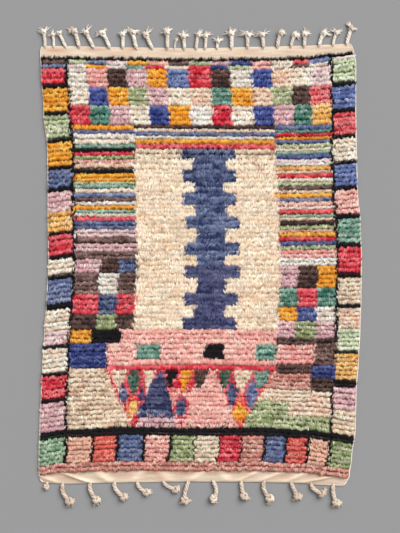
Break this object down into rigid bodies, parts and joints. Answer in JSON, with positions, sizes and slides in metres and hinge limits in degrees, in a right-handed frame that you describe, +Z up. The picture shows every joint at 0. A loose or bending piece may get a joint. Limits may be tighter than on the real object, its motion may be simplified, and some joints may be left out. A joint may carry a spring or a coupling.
{
  "type": "pile rug",
  "caption": "Hand-knotted wool pile rug that lies flat, with a patchwork of blocks, stripes and a stepped column, flat-woven ends and knotted fringes.",
  "frame": {"origin": "on the floor under the middle of the whole rug, fringes included", "axes": "+X across the rug, +Y along it towards the head end, +Z up from the floor through the pile"},
  "size_m": [1.542, 2.3298, 0.0272],
  "materials": {
    "wool_pile": "matt cut wool pile in many dyed colours on a woven wool ground",
    "wool_warp": "matt undyed wool cord"
  },
  "bodies": {
    "root": {"rug": "wool_pile", "fringe_head": "wool_warp", "fringe_foot": "wool_warp"}
  },
  "joints": []
}
